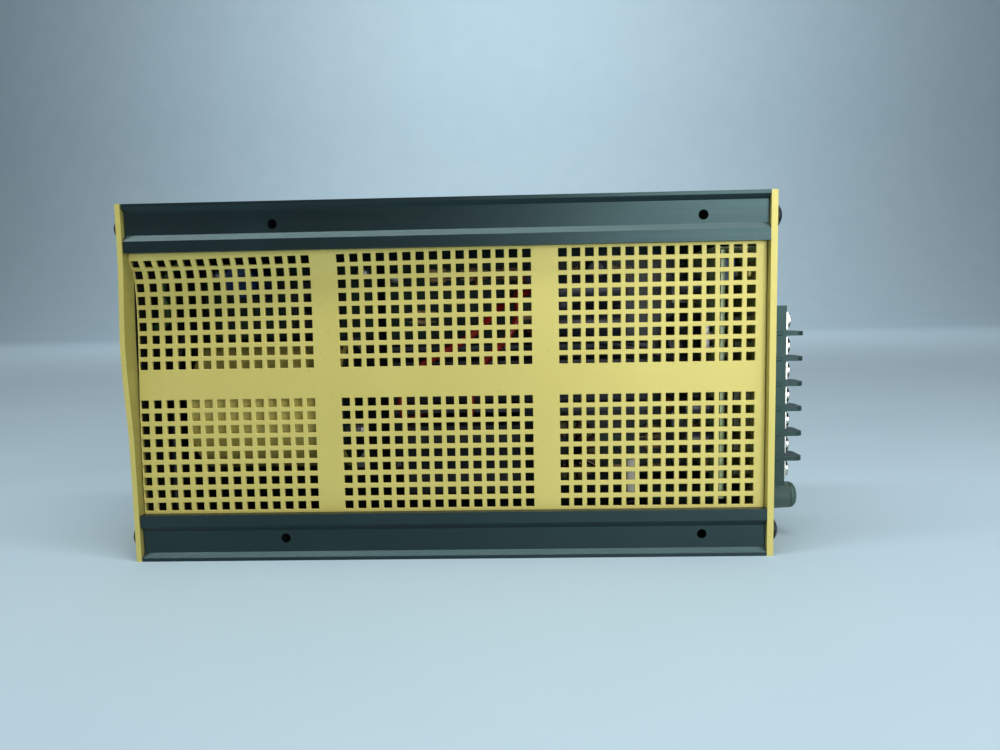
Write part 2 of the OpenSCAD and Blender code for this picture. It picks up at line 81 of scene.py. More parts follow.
def linear(code):
    """Turns an sRGB hex colour into the linear values that a shader takes."""
    parts = [int(code[i:i + 2], 16) / 255 for i in (1, 3, 5)]
    return tuple(p / 12.92 if p <= 0.04045 else ((p + 0.055) / 1.055) ** 2.4 for p in parts) + (1.0,)


def add(mat, kind, settings=None, links=None):
    """Adds a shader node, sets its properties and sockets, and feeds its inputs."""
    node = mat.node_tree.nodes.new("ShaderNode" + kind)
    for name, value in (settings or {}).items():
        if name in node.inputs:
            node.inputs[name].default_value = value
        else:
            setattr(node, name, value)
    for name, source in (links or {}).items():
        mat.node_tree.links.new(source, node.inputs[name])
    return node


def begin(name):
    """Starts a material with only its output, and gives it with its Object coordinates."""
    mat = bpy.data.materials.new(name)
    mat.use_nodes = True
    mat.node_tree.nodes.remove(mat.node_tree.nodes["Principled BSDF"])
    return mat, add(mat, "TexCoord").outputs["Object"]


def complete(mat, settings, links):
    """Closes a material with its shader."""
    shader = add(mat, "BsdfPrincipled", settings, links)
    out = mat.node_tree.nodes["Material Output"]
    mat.node_tree.links.new(shader.outputs["BSDF"], out.inputs["Surface"])
    return mat


def grit(mm):
    """The noise scale whose grain is this many millimetres across."""
    return 1 / (mm * MM)


def deselect():
    """Leaves edit mode and selects nothing."""
    if bpy.context.object and bpy.context.object.mode != "OBJECT":
        bpy.ops.object.mode_set(mode="OBJECT")
    bpy.ops.object.select_all(action="DESELECT")


def take(obj):
    """Selects one object and nothing else."""
    deselect()
    obj.select_set(True)
    bpy.context.view_layer.objects.active = obj
    return obj


floor_size, floor_middle, backdrop_height, sweep_radius = 12, -2.1, 3, 1.2
deselect()
bpy.ops.mesh.primitive_plane_add(size=floor_size, location=(0, floor_middle, 0))
floor = bpy.context.object
floor.name = "studio_floor"
floor.scale.x = 1.5
bpy.ops.object.transform_apply(location=False, rotation=False, scale=True)
bpy.ops.object.mode_set(mode="EDIT")
bpy.ops.mesh.select_all(action="DESELECT")
bpy.ops.object.mode_set(mode="OBJECT")
for edge in floor.data.edges:
    edge.select = all(floor.data.vertices[v].co.y > 0 for v in edge.vertices)
bpy.ops.object.mode_set(mode="EDIT")
bpy.ops.mesh.select_mode(type="EDGE")
bpy.ops.mesh.extrude_region_move(TRANSFORM_OT_translate={"value": (0, 0, backdrop_height)})
bpy.ops.object.mode_set(mode="OBJECT")
sweep = floor.modifiers.new("sweep", "BEVEL")
sweep.width, sweep.segments = sweep_radius, 16
sweep.limit_method, sweep.angle_limit = "ANGLE", 1.0
bpy.ops.object.modifier_apply(modifier="sweep")
bpy.ops.object.shade_smooth()

# Painted board: an even pale grey with a trace of mottling.
paper, place = begin("matt_painted_board")
mottle = add(paper, "TexNoise", {"Scale": 9.0, "Detail": 3.0}, {"Vector": place})
tone = add(paper, "MixRGB", {"Color1": linear("#A3BAC6"), "Color2": linear("#ABC1CC")},
           {"Fac": mottle.outputs["Fac"]})
complete(paper, {"Roughness": 0.85}, {"Base Color": tone.outputs["Color"]})
floor.data.materials.append(paper)

# Each lamp's name, place and aim in metres, width, height, watts and tint.
for name, spot, target, wide, high, watts, tint in (
        ("window", (0.32, -0.62, 0.20), (0.06, 0.0, 0.06), 0.36, 0.40, 3.0, "#FFFFFF"),
        ("key", (0.62, -0.45, 0.55), (0.06, 0.0, 0.06), 0.30, 0.30, 1.3, "#FFFFFF"),
        ("fill", (-0.70, -0.70, 0.35), (0.0, 0.0, 0.06), 0.70, 0.70, 0.3, "#F2F7FF"),
        ("strip", (-0.05, -0.25, 1.00), (-0.05, -0.03, 0.10), 1.60, 0.12, 10.0, "#FFFFFF"),
        ("overhead", (0.0, 0.30, 1.00), (0.0, 0.1, 0.00), 0.80, 0.60, 1.5, "#FFFFFF"),
        ("backdrop", (0.0, 1.50, 2.20), (0.0, 3.9, 0.80), 2.40, 1.00, 80.0, "#FFFFFF")):
    lamp = bpy.data.objects.new(name + "_light", bpy.data.lights.new(name + "_light", "AREA"))
    scene.collection.objects.link(lamp)
    lamp.data.shape = "RECTANGLE"
    lamp.data.size, lamp.data.size_y = wide, high
    lamp.data.energy = watts
    lamp.data.color = linear(tint)[:3]
    lamp.location = spot
    lamp.rotation_euler = (Vector(target) - Vector(spot)).to_track_quat("-Z", "Y").to_euler()
scene.world = bpy.data.worlds.new("soft_room")
scene.world.use_nodes = True
room = scene.world.node_tree.nodes["Background"]
room.inputs["Color"].default_value = linear("#E2EAF0")
room.inputs["Strength"].default_value = 0.16


# ---------------------------------------------------------------- Side rails
# Two aluminium extrusions, one the other turned over, etched and black anodised. The end plates
# screw to their ends, and a groove along each inner edge holds the cover and the back panel.
def lift(node, name, edge=0.2, steps=2, angle=30, keep_sharp=40):
    """Copies a cast node as a clean mesh and breaks its sharp edges by edge millimetres."""
    cast = frame["nodes"][node]
    piece = bpy.data.objects.new(name, cast.data.copy())
    scene.collection.objects.link(piece)
    piece.data.materials.clear()
    take(piece)
    if piece.data.has_custom_normals:
        bpy.ops.mesh.customdata_custom_splitnormals_clear()
    bpy.ops.object.mode_set(mode="EDIT")
    bpy.ops.mesh.select_all(action="SELECT")
    bpy.ops.mesh.remove_doubles(threshold=2e-6)
    bpy.ops.mesh.dissolve_limited(angle_limit=math.radians(0.5))
    bpy.ops.object.mode_set(mode="OBJECT")
    if edge:
        round_off(piece, edge, steps, angle)
    bpy.ops.object.shade_smooth_by_angle(angle=math.radians(keep_sharp))
    even_normals(piece)
    join_frame(piece, node)
    return piece


def round_off(piece, edge, steps=2, angle=30):
    """Rounds every edge sharper than the angle."""
    take(piece)
    bevel = piece.modifiers.new("broken_edges", "BEVEL")
    bevel.width, bevel.segments = edge * MM, steps
    bevel.limit_method, bevel.angle_limit = "ANGLE", math.radians(angle)
    bpy.ops.object.modifier_apply(modifier=bevel.name)


def even_normals(piece):
    """Lets the large faces set the normals, so that flats shade flat beside their rounded edges."""
    take(piece)
    even = piece.modifiers.new("even_normals", "WEIGHTED_NORMAL")
    even.keep_sharp, even.weight = True, 100
    bpy.ops.object.modifier_apply(modifier=even.name)


def join_frame(piece, *nodes):
    """Makes a piece stand for its cast nodes, on their body, and hides the nodes."""
    body = frame["nodes"][nodes[0]]["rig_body"]
    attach(piece, body)
    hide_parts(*nodes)


def dress(mat, *pieces):
    """Gives pieces one finish all over."""
    for piece in pieces:
        piece.data.materials.clear()
        piece.data.materials.append(mat)


# Black anodised aluminium, etched first: a soft charcoal with a fine sparkle, drawn here as
# 0.35 mm grit so that it shows, over faint die lines that run along the rail.
anodised, place = begin("black_anodised_aluminium")
speckle = add(anodised, "TexNoise", {"Scale": grit(0.35), "Detail": 2.0}, {"Vector": place})
die_place = add(anodised, "Mapping", {"Scale": (0.02, 1.0, 1.0)}, {"Vector": place})
die_lines = add(anodised, "TexNoise", {"Scale": grit(0.9), "Detail": 4.0},
                {"Vector": die_place.outputs["Vector"]})
wear = add(anodised, "TexNoise", {"Scale": grit(26), "Detail": 5.0, "Roughness": 0.62}, {"Vector": place})
tone = add(anodised, "MixRGB", {"Color1": linear("#070B0C"), "Color2": linear("#0F1618")},
           {"Fac": speckle.outputs["Fac"]})
dusty = add(anodised, "ValToRGB", links={"Fac": wear.outputs["Fac"]})
dusty.color_ramp.elements[0].position, dusty.color_ramp.elements[1].position = 0.45, 0.8
tone = add(anodised, "MixRGB", {"Color2": linear("#141C1E")},
           {"Fac": dusty.outputs["Color"], "Color1": tone.outputs["Color"]})
gloss = add(anodised, "MapRange", {"To Min": 0.3, "To Max": 0.44}, {"Value": die_lines.outputs["Fac"]})
etch = add(anodised, "Bump", {"Strength": 0.6, "Distance": 0.07 * MM}, {"Height": speckle.outputs["Fac"]})
etch = add(anodised, "Bump", {"Strength": 0.25, "Distance": 0.03 * MM},
           {"Height": die_lines.outputs["Fac"], "Normal": etch.outputs["Normal"]})
complete(anodised, {"Specular IOR Level": 0.95, "Specular Tint": linear("#A6D3D6")},
         {"Base Color": tone.outputs["Color"], "Roughness": gloss.outputs["Result"],
          "Normal": etch.outputs["Normal"]})
for side in ("top", "bottom"):
    dress(anodised, lift("rail_" + side, "side_rail_" + side, 0.25))


# ---------------------------------------------------------------- End plates
# Two flat plates of aluminium sheet, sheared, punched and given a gold chromate finish. The left
# one has taken a knock and bows outwards between the rails, and its inner face carries painted
# shade: a darker copy of the gold and a black film.
# Chromate on rolled sheet: pale satin gold with soft cloudy patches and a fine rolling grain.
def chromate(name, grain_scale, dark="#BDB05C", light="#CABF6D"):
    """A gold chromate finish whose rolling grain is drawn out along the axis of least scale."""
    mat, place = begin(name)
    cloud = add(mat, "TexNoise", {"Scale": grit(38), "Detail": 4.0, "Roughness": 0.55}, {"Vector": place})
    tint = add(mat, "MixRGB", {"Color1": linear(dark), "Color2": linear(light)},
               {"Fac": cloud.outputs["Fac"]})
    roll_place = add(mat, "Mapping", {"Scale": grain_scale}, {"Vector": place})
    roll = add(mat, "TexNoise", {"Scale": grit(0.6), "Detail": 5.0}, {"Vector": roll_place.outputs["Vector"]})
    fleck = add(mat, "TexNoise", {"Scale": grit(2.2), "Detail": 6.0, "Roughness": 0.7}, {"Vector": place})
    marks = add(mat, "ValToRGB", links={"Fac": fleck.outputs["Fac"]})
    marks.color_ramp.elements[0].position, marks.color_ramp.elements[1].position = 0.62, 0.78
    grime = add(mat, "MixRGB", {"Color2": linear("#A3954F")},
                {"Fac": marks.outputs["Color"], "Color1": tint.outputs["Color"]})
    gloss = add(mat, "MapRange", {"To Min": 0.42, "To Max": 0.6}, {"Value": roll.outputs["Fac"]})
    relief = add(mat, "Bump", {"Strength": 0.2, "Distance": 0.03 * MM}, {"Height": roll.outputs["Fac"]})
    return complete(mat, {"Metallic": 0.22},
                    {"Base Color": grime.outputs["Color"], "Roughness": gloss.outputs["Result"],
                     "Normal": relief.outputs["Normal"]})


plate_gold = chromate("gold_chromate_plate", (1.0, 1.0, 0.03))
right_plate = lift("end_plate_right", "end_plate_right_sheet", 0.25)
dress(plate_gold, right_plate)

# The left plate is cut into strips so that it can bend, then bowed most at its front edge, and its
# front edge is sheared thinner from the inner side.
left_plate = lift("end_plate_left", "end_plate_left_sheet", 0)
plate_low, plate_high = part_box("end_plate_left")
bow, bow_low, bow_high, bow_deep = 1.15 * MM, 40 * MM, 114 * MM, 45 * MM
bow_front = -31.8 * MM
strips_up, strips_back = 16, 7
front_edge, inner_side, edge_shear = plate_low[1] + 0.75 * MM, plate_high[0] - 0.1 * MM, 0.45 * MM
take(left_plate)
bpy.ops.object.mode_set(mode="EDIT")
for cut in range(strips_up + 1):
    bpy.ops.mesh.select_all(action="SELECT")
    height = bow_low + (bow_high - bow_low) * cut / strips_up
    bpy.ops.mesh.bisect(plane_co=(0, 0, height), plane_no=(0, 0, 1))
for cut in range(1, strips_back + 1):
    bpy.ops.mesh.select_all(action="SELECT")
    bpy.ops.mesh.bisect(plane_co=(0, (-31.5 + 6 * cut) * MM, 0), plane_no=(0, 1, 0))
bpy.ops.object.mode_set(mode="OBJECT")
for vertex in left_plate.data.vertices:
    if vertex.co.y < front_edge and vertex.co.x > inner_side:
        vertex.co.x -= edge_shear
    along = (vertex.co.z - bow_low) / (bow_high - bow_low)
    if 0 < along < 1:
        deep = min(max((vertex.co.y - bow_front) / bow_deep, 0), 1)
        vertex.co.x -= bow * math.sin(math.pi * along) ** 2 * (1 - deep) ** 2
round_off(left_plate, 0.25, angle=50)
bpy.ops.object.shade_smooth_by_angle(angle=math.radians(35))
even_normals(left_plate)
dress(plate_gold, left_plate)

# Black film: a dull dark sheet over the inner faces, standing in as painted shade for the dim inside of the
# case.
painted_shade_film, place = begin("black_film_painted_shade")
pull = add(painted_shade_film, "TexNoise", {"Scale": grit(14), "Detail": 3.0}, {"Vector": place})
tone = add(painted_shade_film, "MixRGB", {"Color1": linear("#0C0E0E"), "Color2": linear("#171A1A")},
           {"Fac": pull.outputs["Fac"]})
complete(painted_shade_film, {"Roughness": 0.6}, {"Base Color": tone.outputs["Color"]})


def dress_where(piece, mat, test):
    """Gives a further finish to the faces whose middle passes the test."""
    piece.data.materials.append(mat)
    for face in piece.data.polygons:
        if test(face.center):
            face.material_index = len(piece.data.materials) - 1


# The inner face gets a darker copy of the gold as painted shade, and the black film, painted shade too,
# covers it up to a strip along the front.
inner_gold_painted_shade = chromate("gold_chromate_inner_face_painted_shade", (1.0, 1.0, 0.03), "#8E8843", "#9A9350")
bowed_inner = plate_high[0] - 1.5 * MM
face_starts, shade_film_starts = plate_low[1] + 0.35 * MM, plate_low[1] + 6.25 * MM
dress_where(left_plate, inner_gold_painted_shade, lambda p: p.x > bowed_inner and p.y > face_starts)
dress_where(left_plate, painted_shade_film, lambda p: p.x > bowed_inner and p.y > shade_film_starts)


# ---------------------------------------------------------------- End-plate screws
# Eight pan-head steel screws with cross recesses, oiled black oxide, driven into the rails' ports.
# Black oxide: nearly black with a dull oily gleam and a browner bloom in places.
oxide, place = begin("black_oxide_steel")
bloom = add(oxide, "TexNoise", {"Scale": grit(1.6), "Detail": 4.0}, {"Vector": place})
tone = add(oxide, "MixRGB", {"Color1": linear("#191C1E"), "Color2": linear("#2D3132")},
           {"Fac": bloom.outputs["Fac"]})
gloss = add(oxide, "MapRange", {"To Min": 0.28, "To Max": 0.46}, {"Value": bloom.outputs["Fac"]})
complete(oxide, {"Metallic": 0.8},
         {"Base Color": tone.outputs["Color"], "Roughness": gloss.outputs["Result"]})
dress(oxide, lift("end_plate_screws", "pan_head_screws", 0.12))


# ---------------------------------------------------------------- Perforated cover
# One sheet of aluminium, punched with six blocks of square holes, gold chromated like the plates.
# It was pushed in at the upper left corner, and the dent dies away to the right and downwards.
low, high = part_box("perforated_cover")
sheet_left, sheet_right, sheet_foot, sheet_head = low[0], high[0], low[2], high[2]
sheet_face, sheet_back = low[1], high[1]
rail_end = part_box("rail_top")[0][0]
case_middle = (sheet_foot + sheet_head) / 2
PITCH = 4.7625 * MM
HOLE = 3.1 * MM
block_columns, block_rows, first_column, block_step = (14, 15, 15), 9, 2.1 * MM, 12.8 * MM
block_starts = [rail_end + first_column]
for columns in block_columns[:-1]:
    block_starts.append(block_starts[-1] + (columns - 1) * PITCH + block_step)
hole_xs = [start + c * PITCH for start, count in zip(block_starts, block_columns) for c in range(count)]
top_row = case_middle + (block_rows + 0.5) * PITCH
hole_zs = [top_row - r * PITCH - (0 if r < block_rows else 2 * PITCH) for r in range(2 * block_rows)]


def cut_lines(start, end, centres, coarse):
    """Grid lines at both edges of every hole, with more where plain metal is wide."""
    edges = sorted([start, end] + [c + s * HOLE / 2 for c in centres for s in (-1, 1)])
    lines = []
    for a, b in zip(edges, edges[1:]):
        parts = max(1, round((b - a) / coarse))
        lines += [a + (b - a) * k / parts for k in range(parts)]
    return lines + [end]


lines_x = cut_lines(sheet_left, sheet_right, hole_xs, 3.2 * MM)
lines_z = cut_lines(sheet_foot, sheet_head, hole_zs, 3.2 * MM)
deselect()
across, up = len(lines_x) - 1, len(lines_z) - 1
bpy.ops.mesh.primitive_grid_add(x_subdivisions=across, y_subdivisions=up, size=2)
cover = bpy.context.object
cover.name = "perforated_cover_sheet"
for vertex in cover.data.vertices:
    column = round((vertex.co.x + 1) / 2 * across)
    row = round((vertex.co.y + 1) / 2 * up)
    vertex.co = (lines_x[column], sheet_face, lines_z[row])
bpy.ops.object.mode_set(mode="EDIT")
bpy.ops.mesh.select_mode(type="FACE")
bpy.ops.mesh.select_all(action="DESELECT")
bpy.ops.object.mode_set(mode="OBJECT")
for face in cover.data.polygons:
    middle = face.center
    face.select = (min(abs(middle.x - x) for x in hole_xs) < HOLE / 4
                   and min(abs(middle.z - z) for z in hole_zs) < HOLE / 4)
bpy.ops.object.mode_set(mode="EDIT")
bpy.ops.mesh.delete(type="FACE")
bpy.ops.object.mode_set(mode="OBJECT")

# How deep the dent is down its left edge, by height, how far the sheet slid down there, and how
# much of both is left further right, all in millimetres.
dent_down = (
    (17, 0.0), (30, 0.0), (36, 0.2), (44, 0.5), (52, 0.9), (60, 1.4), (72, 2.4), (82, 3.3),
    (87, 3.6), (92, 3.7), (96.5, 3.7), (101, 3.5), (105.8, 3.0), (109, 1.7), (111.8, 0.1), (116, 0.0))
slump_down = (
    (17, 0.0), (98, 0.0), (102, 0.05), (105, 0.2), (107, 0.35), (108.8, 1.1), (111.9, 1.6), (114, 0.0),
    (120, 0.0))
dent_across = (
    (-125, 1.0), (-119, 1.0), (-96, 0.84), (-81, 0.66), (-58, 0.46), (-30, 0.22), (5, 0.0), (130, 0.0))


def between(table, at):
    """Reads a smooth value from a short table of places and amounts."""
    for (a, low_value), (b, high_value) in zip(table, table[1:]):
        if at <= b:
            t = min(max((at - a) / (b - a), 0), 1)
            eased = 0.4 * t * t * (3 - 2 * t) + 0.6 * t
            return low_value + (high_value - low_value) * eased
    return table[-1][1]


for vertex in cover.data.vertices:
    fade = between(dent_across, vertex.co.x / MM)
    push = between(dent_down, vertex.co.z / MM) * fade * MM
    slump = between(slump_down, vertex.co.z / MM) * fade * MM
    vertex.co.y += push
    vertex.co.z -= slump
    vertex.co.x -= 0.1 * push + 0.25 * slump
take(cover)
sheet = cover.modifiers.new("sheet_thickness", "SOLIDIFY")
sheet.thickness, sheet.offset = sheet_back - sheet_face, -1
bpy.ops.object.modifier_apply(modifier="sheet_thickness")
round_off(cover, 0.12, 1, 50)
bpy.ops.object.mode_set(mode="EDIT")
bpy.ops.mesh.select_all(action="SELECT")
bpy.ops.mesh.normals_make_consistent(inside=False)
bpy.ops.object.mode_set(mode="OBJECT")
bpy.ops.object.shade_smooth_by_angle(angle=math.radians(32))
cover_gold = chromate("gold_chromate_sheet", (0.03, 1.0, 1.0))
dress(cover_gold, cover)
join_frame(cover, "perforated_cover")


# ---------------------------------------------------------------- Back panel
# A plain sheet in the same finish closes the back. The black film, painted shade for the dim inside of the
# case, covers all its inner face.
back = lift("back_panel", "back_panel_sheet", 0.15)
dress(cover_gold, back)
inner_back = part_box("back_panel")[0][1]
dress_where(back, painted_shade_film, lambda p: p.y < inner_back + 0.2 * MM)


# ---------------------------------------------------------------- Terminal block
# A barrier block moulded in black phenolic, with a fin between each pair of terminals. Two screws
# from inside hold it to the right end plate, and its solder tails pass through a window.
# Moulded phenolic: dull greenish black, a little cloudy, with a soft mould gloss.
phenolic, place = begin("moulded_phenolic")
cloud = add(phenolic, "TexNoise", {"Scale": grit(5), "Detail": 5.0}, {"Vector": place})
tone = add(phenolic, "MixRGB", {"Color1": linear("#18211F"), "Color2": linear("#293634")},
           {"Fac": cloud.outputs["Fac"]})
skin = add(phenolic, "TexNoise", {"Scale": grit(0.3), "Detail": 2.0}, {"Vector": place})
gloss = add(phenolic, "MapRange", {"To Min": 0.32, "To Max": 0.5}, {"Value": cloud.outputs["Fac"]})
orange_peel = add(phenolic, "Bump", {"Strength": 0.2, "Distance": 0.02 * MM},
                  {"Height": skin.outputs["Fac"]})
complete(phenolic, {"Specular IOR Level": 0.6, "Specular Tint": linear("#A6DAD8")},
         {"Base Color": tone.outputs["Color"], "Roughness": gloss.outputs["Result"],
          "Normal": orange_peel.outputs["Normal"]})
dress(phenolic, lift("terminal_block", "barrier_block", 0.3, 3))


def gather(name, pieces):
    """Joins like pieces, such as one row of screws, into one object."""
    deselect()
    for piece in pieces:
        piece.select_set(True)
    bpy.context.view_layer.objects.active = pieces[0]
    bpy.ops.object.join()
    pieces[0].name = name
    return pieces[0]


# The fins stand a little proud of the block's near side, as lips that ride on the case.
block_left, block_near, block_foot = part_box("terminal_block")[0]
ways, way_pitch, end_wall = 7, 9.525 * MM, 1 * MM
lip_size = (8 * MM, 1.2 * MM, 1.5 * MM)
lips = []
for fin in range(1, ways):
    fin_z = block_foot + end_wall + way_pitch * fin
    lip_middle = (block_left + 4.2 * MM, block_near, fin_z)
    deselect()
    bpy.ops.mesh.primitive_cube_add(size=1, location=lip_middle, scale=lip_size)
    bpy.ops.object.transform_apply(location=True, rotation=True, scale=True)
    lips.append(bpy.context.object)
    round_off(lips[-1], 0.35)
lips = gather("fin_lips", lips)
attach(lips, "case")
dress(phenolic, lips)


# ---------------------------------------------------------------- Terminals
# On each way a tinned strip runs through the block, and a nickel-plated slotted screw pulls a
# square clamp plate down on it.
# Bright plating: near-white metal, a little uneven, with faint handling marks.
def plated(name, dark, light, smooth, dull, mark):
    """A plated metal between two tones and two roughnesses, with marks of this size in mm."""
    mat, place = begin(name)
    stain = add(mat, "TexNoise", {"Scale": grit(mark), "Detail": 5.0, "Roughness": 0.6}, {"Vector": place})
    tone = add(mat, "MixRGB", {"Color1": linear(dark), "Color2": linear(light)},
               {"Fac": stain.outputs["Fac"]})
    gloss = add(mat, "MapRange", {"To Min": smooth, "To Max": dull}, {"Value": stain.outputs["Fac"]})
    dimple = add(mat, "Bump", {"Strength": 0.15, "Distance": 0.02 * MM}, {"Height": stain.outputs["Fac"]})
    return complete(mat, {"Metallic": 1.0},
                    {"Base Color": tone.outputs["Color"], "Roughness": gloss.outputs["Result"],
                     "Normal": dimple.outputs["Normal"]})


nickel = plated("nickel_plated_brass", "#A9A69C", "#E4E2DA", 0.16, 0.34, 1.5)
tin = plated("tinned_brass", "#B4B3AC", "#E6E6E2", 0.25, 0.45, 1.0)
zinc = plated("zinc_plated_steel", "#8E9294", "#C9CDCE", 0.28, 0.5, 2.0)
dress(tin, lift("terminal_plates", "tinned_strips", 0.08, 1))
dress(zinc, lift("terminal_block_screws", "block_fixing_screws", 0.1, 1))
for way in range(1, ways + 1):
    dress(nickel, lift(f"terminal_clamp_{way}", f"clamp_plate_{way}", 0.2))
    dress(nickel, lift(f"terminal_screw_{way}", f"slotted_screw_{way}", 0.1))


# ---------------------------------------------------------------- Fuse holder
# A panel-mount holder in black phenolic, its hex nut inside the plate. The ribbed cap grips the
# fuse by its end ferrule, and a quarter turn frees it.
dress(phenolic, lift("fuse_holder_body", "fuse_holder_tube", 0.15))
dress(zinc, lift("fuse_holder_nut", "fuse_holder_ring_nut", 0.2))
dress(tin, lift("fuse_holder_lugs", "fuse_holder_solder_lugs", 0.08, 1))
dress(nickel, lift("fuse_ferrules", "fuse_end_ferrules", 0.25))


# Moulded or shrunk plastic: one colour that drifts a little, with a soft skin gloss.
def plastic(name, dark, light, smooth, dull, grain):
    """A plastic between two tones and two roughnesses, its skin's grain in mm."""
    mat, place = begin(name)
    drift = add(mat, "TexNoise", {"Scale": grit(9), "Detail": 3.0}, {"Vector": place})
    tone = add(mat, "MixRGB", {"Color1": linear(dark), "Color2": linear(light)},
               {"Fac": drift.outputs["Fac"]})
    skin = add(mat, "TexNoise", {"Scale": grit(grain), "Detail": 3.0}, {"Vector": place})
    gloss = add(mat, "MapRange", {"To Min": smooth, "To Max": dull}, {"Value": skin.outputs["Fac"]})
    relief = add(mat, "Bump", {"Strength": 0.2, "Distance": 0.03 * MM}, {"Height": skin.outputs["Fac"]})
    return complete(mat, {}, {"Base Color": tone.outputs["Color"], "Roughness": gloss.outputs["Result"],
                    "Normal": relief.outputs["Normal"]})


# The cap's lighter teal tone is a painted reflection of the room's bluish light on the phenolic.
cap_phenolic = plastic("cap_phenolic_painted_reflection", "#28423E", "#3B5751", 0.4, 0.55, 0.3)
dress(cap_phenolic, lift("fuse_cap", "fuse_cap_ribbed", 0.06, 1, angle=40, keep_sharp=35))

# Soda glass: clear with the faintest green, a thin drawn tube.
glass, place = begin("drawn_glass_tube")
ripple = add(glass, "TexNoise", {"Scale": grit(4), "Detail": 2.0}, {"Vector": place})
draw = add(glass, "Bump", {"Strength": 0.1, "Distance": 0.02 * MM}, {"Height": ripple.outputs["Fac"]})
complete(glass, {"Base Color": linear("#EAF6F0"), "Roughness": 0.03, "IOR": 1.5,
                 "Transmission Weight": 1.0}, {"Normal": draw.outputs["Normal"]})
dress(glass, lift("fuse_glass", "fuse_glass_tube", 0.1))


# ---------------------------------------------------------------- Bulk capacitor
# A large computer-grade electrolytic lies along the case in a steel ring clamp. Its aluminium can
# wears a tan shrink sleeve, and the phenolic header at the right carries two screw terminals.
def turned(name, profile, sides, end, direction="X"):
    """Builds a turned shape from its first ring, ring by ring along the profile of place and radius."""
    deselect()
    start, radius = profile[0]
    bpy.ops.mesh.primitive_circle_add(vertices=sides, radius=radius * MM, fill_type="NGON",
                                      location=(0, 0, start * MM))
    piece = bpy.context.object
    piece.name = name
    bpy.ops.object.transform_apply(location=True, rotation=False, scale=False)
    bpy.ops.object.mode_set(mode="EDIT")
    bpy.ops.mesh.select_all(action="SELECT")
    for place, next_radius in profile[1:]:
        step = (0, 0, (place - start) * MM)
        bpy.ops.mesh.extrude_region_move(TRANSFORM_OT_translate={"value": step})
        factor = next_radius / radius
        bpy.ops.transform.resize(value=(factor, factor, 1))
        start, radius = place, next_radius
    bpy.ops.mesh.select_all(action="SELECT")
    bpy.ops.mesh.normals_make_consistent(inside=False)
    bpy.ops.object.mode_set(mode="OBJECT")
    turn = {"X": Matrix.Rotation(math.pi / 2, 4, "Y"), "-Y": Matrix.Rotation(math.pi / 2, 4, "X"),
            "Z": Matrix.Identity(4)}[direction]
    piece.data.transform(Matrix.Translation(Vector(end)) @ turn)
    bpy.ops.object.shade_smooth_by_angle(angle=math.radians(35))
    return piece


def middle_of(node):
    """The middle of a cast node's box."""
    low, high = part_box(node)
    return [(a + b) / 2 for a, b in zip(low, high)]


low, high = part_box("bulk_capacitor_can")
_, can_y, can_z = middle_of("bulk_capacitor_can")
can_long = (high[0] - low[0]) / MM
can_foot = [(0, 22.6), (0.1, 23.9), (0.5, 24.8), (1.3, 25.3)]
can_groove = [(can_long - back, radius) for back, radius in (
    (7, 25.35), (6.2, 24.7), (5, 24.2), (3.8, 24.7), (3, 25.3), (0.8, 25.3), (0, 24.6))]
can = turned("bulk_capacitor_sleeved_can", can_foot + can_groove, 72, (low[0], can_y, can_z))
join_frame(can, "bulk_capacitor_can")
sleeve = plastic("tan_shrink_sleeve", "#B5A850", "#CDC26E", 0.12, 0.24, 3.5)
dress(sleeve, can)

low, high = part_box("bulk_capacitor_header")
header_left = high[0] - 5.5 * MM
header = turned("bulk_capacitor_header_disc", [(0, 23.3), (0.9, 23.3), (1.4, 22.8), (1.4, 21.5), (1.0, 21.0)],
                64, (header_left, can_y, can_z))
join_frame(header, "bulk_capacitor_header")
dress(phenolic, header)
post_outline = [(0.5, 4.0), (3.0, 4.0), (3.2, 3.7), (3.2, 3.3), (3.4, 3.2), (5.0, 3.1), (5.4, 2.6)]
posts = []
for side in (-11, 11):
    posts.append(turned("post", post_outline, 24, (header_left, can_y, can_z + side * MM)))
posts = gather("bulk_capacitor_screw_posts", posts)
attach(posts, "case")
dress(zinc, posts)
dress(zinc, lift("capacitor_clamp", "capacitor_ring_clamp", 0.15))


# ---------------------------------------------------------------- Boards
# Two glass-epoxy boards lie flat over the back panel on hex standoffs, and a third stands behind
# the terminals. The flat ones are solder-masked green, and the upright one is bare and pale.
# Glass-epoxy laminate: the mask or bare resin over a faint weave, and tracks about 2.5 mm wide.
def laminate(name, resin, weave_tone, track):
    """A board's finish from its resin, its weave and its tracks."""
    mat, place = begin(name)
    weave = add(mat, "TexNoise", {"Scale": grit(0.8), "Detail": 3.0}, {"Vector": place})
    base = add(mat, "MixRGB", {"Color1": linear(resin), "Color2": linear(weave_tone)},
               {"Fac": weave.outputs["Fac"]})
    cells = add(mat, "TexVoronoi", {"distance": "CHEBYCHEV", "Scale": grit(7), "Randomness": 0.7},
                {"Vector": place})
    tracks = add(mat, "ValToRGB", links={"Fac": cells.outputs["Distance"]})
    tracks.color_ramp.elements[0].position, tracks.color_ramp.elements[1].position = 0.40, 0.44
    tone = add(mat, "MixRGB", {"Color2": linear(track)},
               {"Fac": tracks.outputs["Color"], "Color1": base.outputs["Color"]})
    raised = add(mat, "Bump", {"Strength": 0.4, "Distance": 0.05 * MM},
                 {"Height": tracks.outputs["Color"]})
    gloss = add(mat, "MapRange", {"To Min": 0.25, "To Max": 0.42}, {"Value": weave.outputs["Fac"]})
    return complete(mat, {}, {"Base Color": tone.outputs["Color"], "Roughness": gloss.outputs["Result"],
                    "Normal": raised.outputs["Normal"]})


